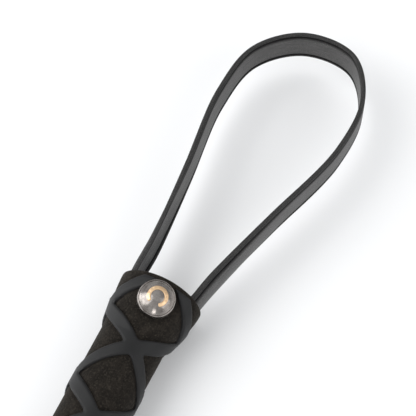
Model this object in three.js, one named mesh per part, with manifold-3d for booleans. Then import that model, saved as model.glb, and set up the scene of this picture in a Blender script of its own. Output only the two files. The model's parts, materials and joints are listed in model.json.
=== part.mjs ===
// Riding crop, 650 mm long, with a wrist loop at the butt and a leather tongue at the tip.
//
// Millimetres, +Z up.  The crop lies on a flat surface with its butt and wrist loop toward +X.
// Every piece is drawn in the crop's own frame: X runs along the handle, the mouth of the
// butt is at x = 0 and the shaft runs to -X.  The finished crop is tilted by about a degree,
// so that its pommel and its tip both touch the surface, and then moved so that the
// origin is at the middle of its footprint.

import * as THREE from 'three';
import { mergeVertices } from 'three/addons/utils/BufferGeometryUtils.js';
import Module from 'manifold-3d';

const wasm = await Module();
wasm.setup();

const CLEARANCE = 0.3;
const ROUND_SEGMENTS = 40;
const SMALL_SEGMENTS = 24;

// Grip: a suede sleeve over a moulded core, flared into a pommel at the butt.  The pommel
// leans to the right tail's side.
const GRIP_LENGTH = 182;
const GRIP_RADIUS = 12.5;
const GRIP_NECK_RADIUS = 10.6;
const POMMEL_RADIUS = 16.4;
const POMMEL_LEAN = 1.1;
const FLARE_LENGTH = 21;
const SLEEVE_WALL = 2;
const LIP_ROUNDING = 0.6;
const MOUTH_RADIUS = 15.6;
const CORE_NOSE_TAPER = 0.7;
const SOCKET_DEPTH = 13.2;
const SOCKET_END_RADIUS = 11.9;
const PLUG_PROUD = 0.5;
const PLUG_BEVEL = 0.6;
const GRIP_ROLL = THREE.MathUtils.degToRad(15);

// Lattice: a moulded net of four helical bands on the sleeve, two of each hand.  Stretched
// on by hand, its crossings sit nearer the butt on two sides and further from it between.
const LATTICE_LEAD = 56.4;
const LATTICE_TURN = THREE.MathUtils.degToRad(6);
const LATTICE_SHIFT = 1.4;
const LATTICE_PULL = 1.6;
const LATTICE_PULL_ANGLE = THREE.MathUtils.degToRad(-11);
const BAND_WIDTH = 4.8;
const BAND_THICKNESS = 0.9;
const LATTICE_END = 176;
const LATTICE_RING = 5;
const LATTICE_STEP = THREE.MathUtils.degToRad(12);
const BAND_STAGGER = 0.05;
const RING_LIFT = 0.02;

// Stud: a domed nail head with a rim, an inlay and a shank that pins the butt plug.
const STUD_PLACE = -7;
const STUD_RADIUS = 7;
const STUD_RIM_WIDTH = 0.9;
const STUD_RIM_TOP = 17;
const STUD_RIM_BEVEL = 0.4;
const STUD_RIM_CROWN = 0.5;
const STUD_FOOT = 12.6;
const STUD_DOME_HEIGHT = 2.7;
const STUD_DOME_STEP = 0.3;
const STUD_DOME_FOOT = 0.2;
const STUD_SHANK_RADIUS = 1.4;
const STUD_SHANK_DEPTH = 9;
const INLAY_RADIUS = 3.9;
const INLAY_BAND = 1.5;
const INLAY_THICKNESS = 0.4;
const INLAY_GAP_ANGLE = THREE.MathUtils.degToRad(62);

// Wrist strap: flat leather on edge, its two tails wedged beside the plug.
const STRAP_WIDTH = 15;
const STRAP_THICKNESS = 1.9;
const TAIL_WIDTH = 8.5;
const TAIL_DEPTH = 12.5;
const TAIL_SIDES = {
  left: { mouth: 12.2, inner: 9.3 },
  right: { mouth: -15, inner: -10.6 },
};
const LOOP_HINGE = 6.3;
const LOOP_END_RADIUS = 5;
const LOOP_FULL_WIDTH_AT = 22;
const LOOP_ROUTE = [
  [-1, 12.1],
  [19.4, 12.4],
  [51.4, 14],
  [86.4, 17.5],
  [110.9, 13.6],
  [125.4, -3],
  [124.4, -24.5],
  [106.9, -36.5],
  [81.9, -37],
  [45.4, -26.5],
  [9.4, -17.2],
  [-1, -14.8],
];
const LOOP_STEPS = 64;
const LOOP_SPAN = 140;
const LOOP_SPREAD = 60;
const LOOP_TRIM = 0.01;
const TACK_PLACE = -6;
const TACK_RADIUS = 0.8;
const TACK_LENGTH = 6;

// Shaft: a tapered fibreglass rod in a braided cover.
const ROD_START = -17;
const ROD_END = -588;
const ROD_BUTT_RADIUS = 3.8;
const ROD_TIP_RADIUS = 1.5;
const BRAID_START = -184;
const BRAID_END = -578;
const BRAID_WALL = 0.7;
const NECK_END = -206;
const NECK_TIP_RADIUS = 5.7;

// Tip: two tongue leaves bound to the shaft with thread.
const LEAF_THICKNESS = 1.6;
const LEAF_NECK_HALF_WIDTH = 3.2;
const LEAF_TAB_START = -556;
const LEAF_TAB_END = -584;
const LEAF_ROOT_END = -603;
const TONGUE_HINGE = -604;
const TONGUE_ROOT_HALF_WIDTH = 10;
const TONGUE_END_HALF_WIDTH = 13;
const TONGUE_LENGTH = 46;
const TONGUE_CORNER = 6;
const BINDING_START = -560;
const BINDING_END = -580;
const BINDING_WALL = 0.8;

const suede = { color: 0x2a2622, roughness: 0.95, metalness: 0 };
const rubber = { color: 0x303132, roughness: 0.6, metalness: 0 };
const leather = { color: 0x2c2a2b, roughness: 0.6, metalness: 0 };
const nickel = { color: 0xb9b4ae, roughness: 0.18, metalness: 1 };
const copper = { color: 0xc98f5f, roughness: 0.3, metalness: 1 };
const plastic = { color: 0x1c1c1d, roughness: 0.5, metalness: 0 };
const fibreglass = { color: 0xc9c7a8, roughness: 0.4, metalness: 0 };
const nylon = { color: 0x1d1d20, roughness: 0.7, metalness: 0 };
const steel = { color: 0x8d8f92, roughness: 0.35, metalness: 1 };

// ---------------------------------------------------------------- solids

// Merges shared points, drops empty triangles and turns the faces outward.
function closedSolid(geometry) {
  const bare = geometry.clone();
  bare.deleteAttribute('normal');
  bare.deleteAttribute('uv');
  const merged = mergeVertices(bare, 1e-4);
  const corners = merged.index.array;
  const at = merged.attributes.position;
  const a = new THREE.Vector3();
  const b = new THREE.Vector3();
  const c = new THREE.Vector3();
  const triangles = [];
  let volume = 0;
  for (let i = 0; i < corners.length; i += 3) {
    const [p, q, r] = [corners[i], corners[i + 1], corners[i + 2]];
    if (p !== q && q !== r && r !== p) {
      triangles.push([p, q, r]);
      a.fromBufferAttribute(at, p);
      b.fromBufferAttribute(at, q);
      c.fromBufferAttribute(at, r);
      volume += a.dot(b.cross(c));
    }
  }
  const outward = volume < 0 ? triangles.map(([p, q, r]) => [p, r, q]) : triangles;
  merged.setIndex(outward.flat());
  merged.computeVertexNormals();
  return merged;
}

function toManifold(geometry) {
  const solid = closedSolid(geometry);
  return new wasm.Manifold(new wasm.Mesh({
    numProp: 3,
    vertProperties: new Float32Array(solid.attributes.position.array),
    triVerts: new Uint32Array(solid.index.array),
  }));
}

function fromManifold(manifold) {
  const mesh = manifold.getMesh();
  const geometry = new THREE.BufferGeometry();
  geometry.setAttribute('position', new THREE.BufferAttribute(mesh.vertProperties, 3));
  geometry.setIndex(new THREE.BufferAttribute(mesh.triVerts, 1));
  geometry.computeVertexNormals();
  return geometry;
}

// A solid turned about X from [x, radius] points.
function turned(points, segments = ROUND_SEGMENTS) {
  const profile = points.map(([x, radius]) => new THREE.Vector2(radius, x));
  const geometry = new THREE.LatheGeometry(profile, segments);
  geometry.rotateZ(-Math.PI / 2);
  return closedSolid(geometry);
}

// A tube turned about X: an outer and an inner list of [x, radius] points, both from -X to +X.
function turnedTube(outer, inner, segments = ROUND_SEGMENTS) {
  return turned([...outer, ...inner.slice().reverse(), outer[0]], segments);
}

// A flat outline of [a, b] points in the XY plane, drawn up along Z between two heights.
function platedXY(points, low, high) {
  const outline = new THREE.Shape(points.map(([x, y]) => new THREE.Vector2(x, y)));
  const geometry = new THREE.ExtrudeGeometry(outline, { depth: high - low, bevelEnabled: false });
  geometry.translate(0, 0, low);
  return geometry;
}

// The same with an outline of [x, z] points, drawn along Y to both sides of the XZ plane.
function platedXZ(points, halfDepth) {
  const geometry = platedXY(points, -halfDepth, halfDepth);
  geometry.rotateX(Math.PI / 2);
  return geometry;
}

function mirroredOutline(points) {
  return [...points, ...points.slice().reverse().map(([x, y]) => [x, -y])];
}

function part(name, geometry, look) {
  const mesh = new THREE.Mesh(geometry, new THREE.MeshStandardMaterial(look));
  mesh.name = name;
  return mesh;
}

// ---------------------------------------------------------------- shared outlines

// How far the pommel's flare has opened: 0 where it starts and 1 at the mouth.
function pommelSwell(x) {
  const u = THREE.MathUtils.clamp(1 + x / FLARE_LENGTH, 0, 1);
  return 0.5 * u * (2 - u) + 0.5 * u * u * (3 - 2 * u);
}

// Outer radius of the suede sleeve: a slight taper, then the pommel's flare.
function gripRadius(x) {
  const along = (x + GRIP_LENGTH) / (GRIP_LENGTH - FLARE_LENGTH);
  const taper = THREE.MathUtils.lerp(GRIP_NECK_RADIUS, GRIP_RADIUS, Math.min(along, 1));
  return taper + (POMMEL_RADIUS - GRIP_RADIUS) * pommelSwell(x);
}

// Moves a solid's points sideways with the pommel's lean.  The roll is the angle that the
// solid is later turned about the handle.
function leaned(geometry, roll) {
  const at = geometry.attributes.position;
  for (let i = 0; i < at.count; i += 1) {
    const shift = POMMEL_LEAN * pommelSwell(at.getX(i));
    at.setY(i, at.getY(i) - shift * Math.cos(roll));
    at.setZ(i, at.getZ(i) + shift * Math.sin(roll));
  }
  return geometry;
}

function socketRadius(x) {
  return THREE.MathUtils.lerp(MOUTH_RADIUS, SOCKET_END_RADIUS, -x / SOCKET_DEPTH);
}

function rodRadius(x) {
  const along = (x - ROD_START) / (ROD_END - ROD_START);
  return THREE.MathUtils.lerp(ROD_BUTT_RADIUS, ROD_TIP_RADIUS, along);
}

function braidRadius(x) {
  return rodRadius(x) + CLEARANCE + BRAID_WALL;
}

// Places from one x to another, both included.
function stations(from, to, count) {
  return Array.from({ length: count + 1 }, (_, i) => from + (to - from) * i / count);
}

// A cylinder on the stud's axis, between two heights.
function standingCylinder(radius, low, high, segments) {
  const geometry = new THREE.CylinderGeometry(radius, radius, high - low, segments);
  geometry.rotateX(Math.PI / 2);
  geometry.translate(STUD_PLACE, 0, (low + high) / 2);
  return geometry;
}

// ---------------------------------------------------------------- handle

function gripSleeve() {
  const straight = stations(-GRIP_LENGTH, -FLARE_LENGTH, 3);
  const flare = stations(-FLARE_LENGTH, -LIP_ROUNDING, 8).slice(1);
  const outer = [...straight, ...flare].map((x) => [x, gripRadius(x)]);
  outer.push([0, POMMEL_RADIUS - LIP_ROUNDING / 2]);
  const innerRadius = (x) => gripRadius(x) - SLEEVE_WALL;
  const shoulder = -SOCKET_DEPTH - 1;
  const inner = [
    [-GRIP_LENGTH, innerRadius(-GRIP_LENGTH)],
    [-FLARE_LENGTH, innerRadius(-FLARE_LENGTH)],
    [shoulder, innerRadius(-FLARE_LENGTH)],
    [shoulder, SOCKET_END_RADIUS],
    [-SOCKET_DEPTH, SOCKET_END_RADIUS],
    [0, MOUTH_RADIUS],
  ];
  const sleeve = toManifold(leaned(turnedTube(outer, inner), GRIP_ROLL));
  const inSocket = SOCKET_END_RADIUS / 2;
  const nailHole = standingCylinder(STUD_SHANK_RADIUS + CLEARANCE, inSocket, STUD_RIM_TOP, 16);
  return fromManifold(sleeve.subtract(toManifold(nailHole)));
}

// One helical band of the lattice.  Angle 0 faces the stud.  The two hands differ a little in
// thickness, so that no faces coincide where they cross.
function latticeBand(hand, start) {
  const lead = BAND_WIDTH / 2 + LATTICE_PULL;
  const turns = (LATTICE_END + 2 * lead) / LATTICE_LEAD;
  const steps = Math.ceil(turns * 2 * Math.PI / LATTICE_STEP);
  const stagger = hand > 0 ? 0 : BAND_STAGGER;
  const lift = CLEARANCE + stagger;
  const top = CLEARANCE + BAND_THICKNESS - stagger;
  const points = [];
  for (let i = 0; i <= steps; i += 1) {
    const middle = lead - i / steps * turns * LATTICE_LEAD;
    const angle = hand * 2 * Math.PI * middle / LATTICE_LEAD + start;
    const radius = gripRadius(Math.min(middle, 0));
    const slant = hand * Math.atan(LATTICE_LEAD / (2 * Math.PI * radius));
    for (const [side, height] of [[-1, lift], [1, lift], [1, top], [-1, top]]) {
      const turn = angle - side * BAND_WIDTH / 2 * Math.sin(slant) / radius;
      const pull = LATTICE_PULL * Math.cos(2 * (turn - LATTICE_PULL_ANGLE));
      const x = middle + side * BAND_WIDTH / 2 * Math.cos(slant) + pull + LATTICE_SHIFT;
      const reach = gripRadius(Math.min(x, 0)) + height;
      points.push(x, -reach * Math.sin(turn), reach * Math.cos(turn));
    }
  }
  const faces = [];
  for (let i = 0; i < steps; i += 1) {
    for (let side = 0; side < 4; side += 1) {
      const a = 4 * i + side;
      const b = 4 * i + (side + 1) % 4;
      faces.push(a, b, a + 4, b, b + 4, a + 4);
    }
  }
  const last = 4 * steps;
  faces.push(0, 2, 1, 0, 3, 2);
  faces.push(last, last + 1, last + 2, last, last + 2, last + 3);
  const geometry = new THREE.BufferGeometry();
  geometry.setAttribute('position', new THREE.Float32BufferAttribute(points, 3));
  geometry.setIndex(faces);
  return geometry;
}

function gripLattice() {
  const ringOuter = (x) => [x, gripRadius(x) + CLEARANCE + BAND_THICKNESS];
  const ringInner = (x) => [x, gripRadius(x) + CLEARANCE + RING_LIFT];
  const ringEnds = [-LATTICE_END, -LATTICE_END + LATTICE_RING];
  let net = toManifold(turnedTube(ringEnds.map(ringOuter), ringEnds.map(ringInner)));
  for (const hand of [1, -1]) {
    for (const start of [LATTICE_TURN, LATTICE_TURN + Math.PI]) {
      net = net.add(toManifold(leaned(latticeBand(hand, start), GRIP_ROLL)));
    }
  }
  const reach = 2 * POMMEL_RADIUS;
  const span = turned([[-LATTICE_END, 0], [-LATTICE_END, reach], [-LIP_ROUNDING, reach], [-LIP_ROUNDING, 0]]);
  const studSeat = standingCylinder(STUD_RADIUS + CLEARANCE, 0, reach, ROUND_SEGMENTS);
  return fromManifold(net.intersect(toManifold(span)).subtract(toManifold(studSeat)));
}

function handleCore() {
  const coreRadius = (x) => gripRadius(x) - SLEEVE_WALL - CLEARANCE;
  const front = -SOCKET_DEPTH - 1 - CLEARANCE;
  const back = -GRIP_LENGTH + 1;
  const outer = [back, -FLARE_LENGTH].map((x) => [x, coreRadius(x)]);
  outer.push([front, coreRadius(-FLARE_LENGTH) - CORE_NOSE_TAPER]);
  const floor = ROD_START + CLEARANCE;
  const bore = [back, floor].map((x) => [x, rodRadius(Math.min(x, ROD_START)) + CLEARANCE]);
  return turned([[floor, 0], ...bore.slice().reverse(), ...outer, [front, 0]], SMALL_SEGMENTS);
}

function neckCone() {
  const start = -GRIP_LENGTH - CLEARANCE;
  const radius = GRIP_NECK_RADIUS + BAND_THICKNESS;
  const outer = [
    [NECK_END, NECK_TIP_RADIUS],
    [NECK_END + 4, NECK_TIP_RADIUS + 0.7],
    [start - 8, radius - 1.8],
    [start - 3, radius - 0.3],
    [start - 1, radius],
    [start, radius - 0.4],
  ];
  const inner = [NECK_END, start].map((x) => [x, braidRadius(x) + CLEARANCE]);
  return turnedTube(outer, inner, 32);
}

// ---------------------------------------------------------------- stud

function studRim() {
  const inside = STUD_RADIUS - STUD_RIM_WIDTH - CLEARANCE;
  const top = STUD_RIM_TOP + STUD_RIM_CROWN;
  const ring = turnedTube(
    [[STUD_FOOT, STUD_RADIUS], [STUD_RIM_TOP, STUD_RADIUS], [top, STUD_RADIUS - STUD_RIM_BEVEL]],
    [[STUD_FOOT, inside], [top, inside]], 32);
  ring.rotateY(-Math.PI / 2);
  ring.translate(STUD_PLACE, 0, 0);
  const places = [...stations(-FLARE_LENGTH, -LIP_ROUNDING, 8), 0];
  const surface = places.map((x) => [x, gripRadius(x) + CLEARANCE]);
  const body = leaned(turned([[-FLARE_LENGTH, 0], ...surface, [0, 0]]), GRIP_ROLL);
  return fromManifold(toManifold(ring).subtract(toManifold(body)));
}

function studSphereRadius() {
  const base = STUD_RADIUS - STUD_RIM_WIDTH - 2 * CLEARANCE;
  return (base * base + STUD_DOME_HEIGHT * STUD_DOME_HEIGHT) / (2 * STUD_DOME_HEIGHT);
}

// Half the outline of a round cap, from its rim to its crown, as [height, radius] points.
function domeOutline(radius, rimHeight, crownHeight, count) {
  const centre = crownHeight - radius;
  return stations(rimHeight, crownHeight, count).map((height) => {
    const away = height - centre;
    return [height, Math.sqrt(Math.max(radius * radius - away * away, 0))];
  });
}

function studCap() {
  const sphere = studSphereRadius();
  const base = STUD_RIM_TOP + STUD_DOME_STEP;
  const dome = domeOutline(sphere, base, base + STUD_DOME_HEIGHT, 8);
  const foot = STUD_RIM_TOP - STUD_DOME_FOOT;
  const geometry = turned([[foot, 0], [foot, dome[0][1]], ...dome], 32);
  geometry.rotateY(-Math.PI / 2);
  geometry.translate(STUD_PLACE, 0, 0);
  return geometry;
}

// A plain horseshoe laid on the dome.
function studInlay() {
  const inner = INLAY_RADIUS - INLAY_BAND;
  const arc = (radius, from, to) => stations(from, to, 14).map((turn) => [
    STUD_PLACE + radius * Math.cos(turn),
    radius * Math.sin(turn),
  ]);
  const half = Math.PI - INLAY_GAP_ANGLE / 2;
  const outline = [...arc(INLAY_RADIUS, -half, half), ...arc(inner, half, -half)];
  const shoe = platedXY(outline, STUD_RIM_TOP, 2 * STUD_RIM_TOP);
  const crown = STUD_RIM_TOP + STUD_DOME_STEP + STUD_DOME_HEIGHT;
  const centre = crown - studSphereRadius();
  const shellBall = (radius) => {
    const ball = new THREE.SphereGeometry(radius, 32, 24);
    ball.rotateX(Math.PI / 2);
    ball.translate(STUD_PLACE, 0, centre);
    return toManifold(ball);
  };
  const low = studSphereRadius() + CLEARANCE;
  const shell = shellBall(low + INLAY_THICKNESS).subtract(shellBall(low));
  return fromManifold(toManifold(shoe).intersect(shell));
}

function studShank() {
  const top = STUD_RIM_TOP - STUD_DOME_FOOT - CLEARANCE;
  const geometry = turned([
    [top - STUD_SHANK_DEPTH, 0],
    [top - STUD_SHANK_DEPTH + 2, STUD_SHANK_RADIUS],
    [top, STUD_SHANK_RADIUS],
    [top, 0],
  ], 16);
  geometry.rotateY(-Math.PI / 2);
  geometry.translate(STUD_PLACE, 0, 0);
  return geometry;
}

// ---------------------------------------------------------------- wrist strap

// Middle of a tail at a place along the handle.
function tailOffset(side, x) {
  return THREE.MathUtils.lerp(side.mouth, side.inner, -x / TAIL_DEPTH);
}

// A slab along a tail, wider than the tail by a margin on every face.
function tailSlab(side, margin, reachOut = 0) {
  const from = -TAIL_DEPTH - margin;
  const to = LOOP_HINGE - LOOP_END_RADIUS - CLEARANCE + margin;
  const away = Math.sign(side.mouth);
  const half = STRAP_THICKNESS / 2 + margin;
  const near = (x) => [x, tailOffset(side, x) - away * half];
  const far = (x) => [x, tailOffset(side, x) + away * (half + reachOut)];
  const tall = TAIL_WIDTH / 2 + margin;
  return toManifold(platedXY([near(from), near(to), far(to), far(from)], -tall, tall));
}

function tackPin(side, margin) {
  const away = Math.sign(side.mouth);
  const outside = away * tailOffset(side, TACK_PLACE) + STRAP_THICKNESS / 2 - CLEARANCE;
  const length = TACK_LENGTH + 2 * margin;
  const radius = TACK_RADIUS + margin;
  const pin = new THREE.CylinderGeometry(radius, radius, length, 16);
  pin.translate(TACK_PLACE, away * (outside + margin - length / 2), 0);
  return pin;
}

function strapTail(side) {
  return fromManifold(tailSlab(side, 0).subtract(toManifold(tackPin(side, CLEARANCE))));
}

function buttPlug() {
  const deep = -SOCKET_DEPTH + CLEARANCE;
  const plug = toManifold(leaned(turned([
    [deep, 0],
    [deep, socketRadius(deep) - CLEARANCE],
    [-PLUG_BEVEL, socketRadius(-PLUG_BEVEL) - CLEARANCE],
    [PLUG_PROUD, socketRadius(0) - CLEARANCE - 2 * PLUG_BEVEL],
    [PLUG_PROUD, 0],
  ]), 0));
  const nailTip = STUD_RIM_TOP - STUD_SHANK_DEPTH - 1;
  const nail = standingCylinder(STUD_SHANK_RADIUS + CLEARANCE, nailTip, STUD_RIM_TOP, 16);
  nail.rotateX(GRIP_ROLL);
  let cut = plug.subtract(toManifold(nail));
  for (const side of Object.values(TAIL_SIDES)) {
    cut = cut.subtract(tailSlab(side, CLEARANCE, 6));
    cut = cut.subtract(toManifold(tackPin(side, CLEARANCE)));
  }
  return fromManifold(cut);
}

// The loop's outline seen from above, cut to its outline seen from the side.
function wristLoop() {
  const route = new THREE.CatmullRomCurve3(LOOP_ROUTE.map(([x, y]) => new THREE.Vector3(x, y, 0)));
  const outside = [];
  const inside = [];
  for (let i = 0; i <= LOOP_STEPS; i += 1) {
    const at = route.getPointAt(i / LOOP_STEPS);
    const along = route.getTangentAt(i / LOOP_STEPS);
    const half = STRAP_THICKNESS / 2;
    outside.push([at.x - along.y * half, at.y + along.x * half]);
    inside.push([at.x + along.y * half, at.y - along.x * half]);
  }
  const band = platedXY([...outside, ...inside.reverse()], -STRAP_WIDTH / 2, STRAP_WIDTH / 2);
  const roundEnd = stations(Math.PI, Math.PI / 2, 6).map((turn) => [
    LOOP_HINGE + LOOP_END_RADIUS * Math.cos(turn),
    LOOP_END_RADIUS * Math.sin(turn),
  ]);
  const high = STRAP_WIDTH / 2 + LOOP_TRIM;
  const upper = [...roundEnd, [LOOP_FULL_WIDTH_AT, high], [LOOP_SPAN, high]];
  const lower = upper.slice(1).reverse().map(([x, z]) => [x, -z]);
  const sideView = platedXZ([...upper, ...lower], LOOP_SPREAD);
  return fromManifold(toManifold(band).intersect(toManifold(sideView)));
}

// ---------------------------------------------------------------- shaft and tip

function shaftRod() {
  const ends = [ROD_END, ROD_START];
  return turned([[ROD_END, 0], ...ends.map((x) => [x, rodRadius(x)]), [ROD_START, 0]], SMALL_SEGMENTS);
}

function shaftBraid() {
  const ends = [BRAID_END, BRAID_START];
  const outer = ends.map((x) => [x, braidRadius(x)]);
  const inner = ends.map((x) => [x, rodRadius(x) + CLEARANCE]);
  return turnedTube(outer, inner, SMALL_SEGMENTS);
}

function tipCap() {
  const mouth = BRAID_END - CLEARANCE;
  const radius = braidRadius(mouth) - 0.2;
  const bore = rodRadius(ROD_END) + CLEARANCE;
  return turned([
    [ROD_END - CLEARANCE, 0],
    [ROD_END - CLEARANCE, bore],
    [mouth, bore],
    [mouth, radius],
    [ROD_END - 1, radius],
    [ROD_END - 2.5, radius - 1],
    [ROD_END - 2.5, 0],
  ], SMALL_SEGMENTS);
}

// A leaf starts as a half tube on the shaft's end and closes up to a flat plate past it.
const TAB_BORE_RADIUS = braidRadius(BRAID_END) + CLEARANCE + 0.1;
const TAB_RADIUS = TAB_BORE_RADIUS + LEAF_THICKNESS;
const LEAF_HIGH = TAB_BORE_RADIUS + LEAF_THICKNESS / 2;
const LEAF_LOW = (CLEARANCE + LEAF_THICKNESS) / 2;
const BINDING_BORE_RADIUS = TAB_RADIUS + CLEARANCE;

function tipBinding() {
  const ends = [BINDING_END, BINDING_START];
  const outer = [
    [BINDING_END, BINDING_BORE_RADIUS + BINDING_WALL / 2],
    [BINDING_END + 1, BINDING_BORE_RADIUS + BINDING_WALL],
    [BINDING_START - 1, BINDING_BORE_RADIUS + BINDING_WALL],
    [BINDING_START, BINDING_BORE_RADIUS + BINDING_WALL / 2],
  ];
  return turnedTube(outer, ends.map((x) => [x, BINDING_BORE_RADIUS]), 32);
}

function tongueRoot(up) {
  const half = LEAF_THICKNESS / 2;
  const tabEnds = [LEAF_TAB_END, LEAF_TAB_START];
  const tube = turnedTube(
    tabEnds.map((x) => [x, TAB_RADIUS]), tabEnds.map((x) => [x, TAB_BORE_RADIUS]), SMALL_SEGMENTS);
  const heights = [up * CLEARANCE / 2, up * 2 * TAB_RADIUS].sort((a, b) => a - b);
  const corners = [[-1, -1], [1, -1], [1, 1], [-1, 1]].map(([sx, sy]) => [
    (LEAF_TAB_START + LEAF_TAB_END) / 2 + sx * (LEAF_TAB_START - LEAF_TAB_END),
    sy * 2 * TAB_RADIUS,
  ]);
  const tab = toManifold(tube).intersect(toManifold(platedXY(corners, ...heights)));
  const line = [
    [LEAF_TAB_END + 3, LEAF_HIGH],
    [ROD_END - 3, LEAF_HIGH],
    [LEAF_ROOT_END + 2, LEAF_LOW],
    [LEAF_ROOT_END, LEAF_LOW],
  ];
  const top = line.map(([x, z]) => [x, up * (z + half)]);
  const bottom = line.map(([x, z]) => [x, up * (z - half)]);
  const profile = platedXZ([...top, ...bottom.reverse()], 2 * TONGUE_END_HALF_WIDTH);
  const plan = platedXY(mirroredOutline([
    [LEAF_TAB_END + 3, LEAF_NECK_HALF_WIDTH - 0.6],
    [LEAF_TAB_END, LEAF_NECK_HALF_WIDTH],
    [LEAF_TAB_END - 6, LEAF_NECK_HALF_WIDTH + 1.4],
    [LEAF_TAB_END - 13, TONGUE_ROOT_HALF_WIDTH - 1.6],
    [LEAF_ROOT_END, TONGUE_ROOT_HALF_WIDTH],
  ]), -2 * LEAF_HIGH, 2 * LEAF_HIGH);
  return fromManifold(toManifold(profile).intersect(toManifold(plan)).add(tab));
}

// A tongue leaf, drawn from the hinge line toward -X.
function tongueLeaf(up) {
  const start = LEAF_ROOT_END - TONGUE_HINGE;
  const end = -TONGUE_LENGTH;
  const corner = stations(0, Math.PI / 2, 5).map((turn) => [
    end + TONGUE_CORNER * (1 - Math.sin(turn)),
    TONGUE_END_HALF_WIDTH - TONGUE_CORNER * (1 - Math.cos(turn)),
  ]);
  const outline = mirroredOutline([[-start, TONGUE_ROOT_HALF_WIDTH], ...corner]);
  const half = LEAF_THICKNESS / 2;
  return closedSolid(platedXY(outline, up * LEAF_LOW - half, up * LEAF_LOW + half));
}

// ---------------------------------------------------------------- assembly

const grip = new THREE.Group();
grip.rotation.x = GRIP_ROLL;
grip.add(
  part('grip_sleeve', gripSleeve(), suede),
  part('grip_lattice', gripLattice(), rubber),
  part('stud_rim', studRim(), nickel),
  part('stud_cap', studCap(), nickel),
  part('stud_inlay', studInlay(), copper),
  part('stud_shank', studShank(), steel),
);

const tongue = new THREE.Group();
tongue.add(
  part('tongue_leaf_upper', tongueLeaf(1), leather),
  part('tongue_leaf_lower', tongueLeaf(-1), leather),
);

const crop = new THREE.Group();
crop.add(
  grip,
  tongue,
  part('handle_core', handleCore(), plastic),
  part('neck_cone', neckCone(), rubber),
  part('butt_plug', buttPlug(), rubber),
  part('wrist_loop', wristLoop(), leather),
  part('shaft_rod', shaftRod(), fibreglass),
  part('shaft_braid', shaftBraid(), nylon),
  part('tip_cap', tipCap(), plastic),
  part('tip_binding', tipBinding(), nylon),
  part('tongue_root_upper', tongueRoot(1), leather),
  part('tongue_root_lower', tongueRoot(-1), leather),
);
for (const [sideName, side] of Object.entries(TAIL_SIDES)) {
  crop.add(part(`strap_tail_${sideName}`, strapTail(side), leather));
  crop.add(part(`tail_tack_${sideName}`, closedSolid(tackPin(side, 0)), steel));
}

// The pommel and the tip binding lie on the surface, and the tongue droops down to it.
const pommelReach = POMMEL_RADIUS + CLEARANCE + BAND_THICKNESS;
const bindingReach = BINDING_BORE_RADIUS + BINDING_WALL;
const tongueReach = LEAF_LOW + LEAF_THICKNESS / 2;
const tilt = Math.asin((pommelReach - bindingReach) / -BINDING_END);
const hingeHeight = pommelReach + TONGUE_HINGE * Math.sin(tilt);
const droop = Math.asin((hingeHeight - tongueReach) / TONGUE_LENGTH);
tongue.position.x = TONGUE_HINGE;
tongue.rotation.y = tilt - droop;
crop.rotation.y = -tilt;

const object = new THREE.Group();
object.add(crop);
object.updateMatrixWorld(true);
const footprint = new THREE.Box3().setFromObject(object, true);
crop.position.set(
  -(footprint.min.x + footprint.max.x) / 2,
  -(footprint.min.y + footprint.max.y) / 2,
  -footprint.min.z,
);

export default object;
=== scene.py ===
"""A riding crop lying on a pale surface, seen from above its butt end.

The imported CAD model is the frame.  Shapes are worked out in the crop's own frame, in
millimetres: X along the handle with the mouth of the butt at 0, Y across, and Z out of the
plane of the wrist loop.  They are placed in the model's frame, in metres, as they are made.
"""

import json
import math

import bmesh
import bpy
import numpy as np
from mathutils import Matrix, Vector


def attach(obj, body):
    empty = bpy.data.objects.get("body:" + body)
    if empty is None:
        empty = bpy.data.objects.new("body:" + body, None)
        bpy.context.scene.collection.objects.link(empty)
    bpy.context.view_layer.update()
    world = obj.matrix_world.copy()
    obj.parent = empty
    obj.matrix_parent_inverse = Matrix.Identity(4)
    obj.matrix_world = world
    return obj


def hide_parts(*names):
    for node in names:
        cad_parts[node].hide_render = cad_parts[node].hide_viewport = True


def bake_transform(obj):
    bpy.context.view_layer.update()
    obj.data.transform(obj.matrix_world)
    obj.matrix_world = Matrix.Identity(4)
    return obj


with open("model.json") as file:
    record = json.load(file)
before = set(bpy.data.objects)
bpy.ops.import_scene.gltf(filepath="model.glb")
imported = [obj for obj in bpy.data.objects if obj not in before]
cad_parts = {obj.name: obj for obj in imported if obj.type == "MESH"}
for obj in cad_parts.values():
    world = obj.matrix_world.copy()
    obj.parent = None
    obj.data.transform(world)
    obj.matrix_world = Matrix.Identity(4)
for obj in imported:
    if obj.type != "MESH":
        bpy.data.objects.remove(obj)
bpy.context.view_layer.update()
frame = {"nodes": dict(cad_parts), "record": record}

MM = 0.001
CLEARANCE = 0.3
SHARP_ANGLE = math.radians(40)

# Grip, as in the CAD
GRIP_LENGTH = 182
GRIP_RADIUS = 12.5
GRIP_NECK_RADIUS = 10.6
POMMEL_RADIUS = 16.4
POMMEL_LEAN = 1.1
FLARE_LENGTH = 21
LIP_ROUNDING = 0.8
LIP_CROWN = 1.3
MOUTH_RADIUS = 15.5
SOCKET_DEPTH = 13.2
SOCKET_END_RADIUS = 11.9
GRIP_ROLL = math.radians(15)
GRIP_STEP = 0.5
GRIP_COLUMNS = 176

# Lattice
LATTICE_LEAD = 56.4
LATTICE_TURN = math.radians(6)
LATTICE_SHIFT = 1.4
LATTICE_PULL = 1.6
LATTICE_PULL_ANGLE = math.radians(-11)
BAND_WIDTH = 4.7
BAND_HEIGHT = 0.95
BAND_SHOULDER = 0.42
BAND_FOOT = -0.5
LATTICE_END = 176
LATTICE_RING = 5
CROSSING_FILLET = 1.1
RING_FILLET = 3.0
LATTICE_STEP = 0.42
SUEDE_DIP = 0.3
STUD_DIP = 0.5

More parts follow.
